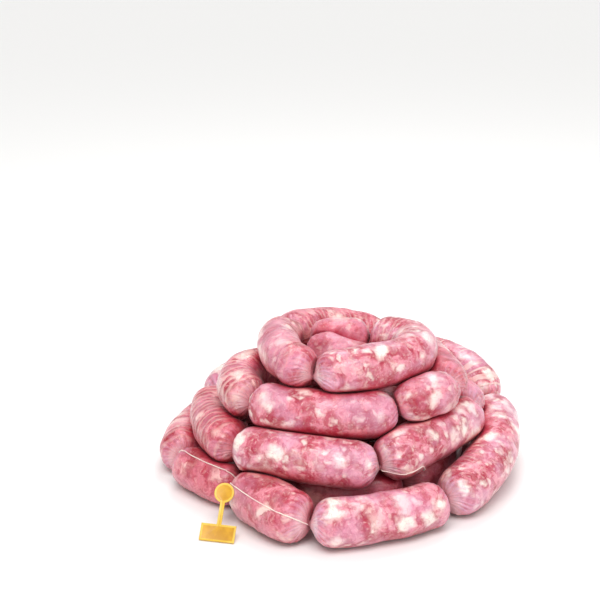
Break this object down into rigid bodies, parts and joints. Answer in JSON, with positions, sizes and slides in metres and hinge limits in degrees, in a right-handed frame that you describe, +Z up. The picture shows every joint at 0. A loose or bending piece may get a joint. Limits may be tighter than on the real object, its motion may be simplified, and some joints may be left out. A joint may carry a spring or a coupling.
{
  "type": "string of sausage links",
  "caption": "String of fresh coarse pork sausage links in natural casing, coiled up in a heap, with a little twine and a plain tag.",
  "frame": {"origin": "centre of the heap's footprint, on the plane that the lowest links stand on", "axes": "+Z up, the front of the heap faces -Y, +X to the right as seen from the front"},
  "size_m": [0.2722, 0.2696, 0.116],
  "materials": {
    "sausage": "moist natural casing over coarse pork, satin",
    "twine": "matt twisted cotton",
    "tag_plastic": "plain moulded yellow plastic"
  },
  "bodies": {
    "root": {"link_01": "sausage", "link_02": "sausage", "link_03": "sausage", "link_04": "sausage", "link_05": "sausage", "link_06": "sausage", "link_07": "sausage", "link_08": "sausage", "link_09": "sausage", "link_10": "sausage", "link_11": "sausage", "link_12": "sausage", "link_13": "sausage", "link_14": "sausage", "link_15": "sausage", "link_16": "sausage", "link_17": "sausage", "link_18": "sausage", "link_19": "sausage", "link_20": "sausage", "link_21": "sausage", "link_22": "sausage", "link_23": "sausage", "link_24": "sausage", "link_25": "sausage", "link_26": "sausage", "link_27": "sausage", "link_28": "sausage", "link_29": "sausage", "link_30": "sausage", "link_31": "sausage", "link_32": "sausage", "link_33": "sausage", "link_34": "sausage", "twine_10": "twine", "twine_11": "twine", "twine_19": "twine", "tie_26": "twine", "tie_28": "twine", "tag": "tag_plastic"}
  },
  "joints": []
}
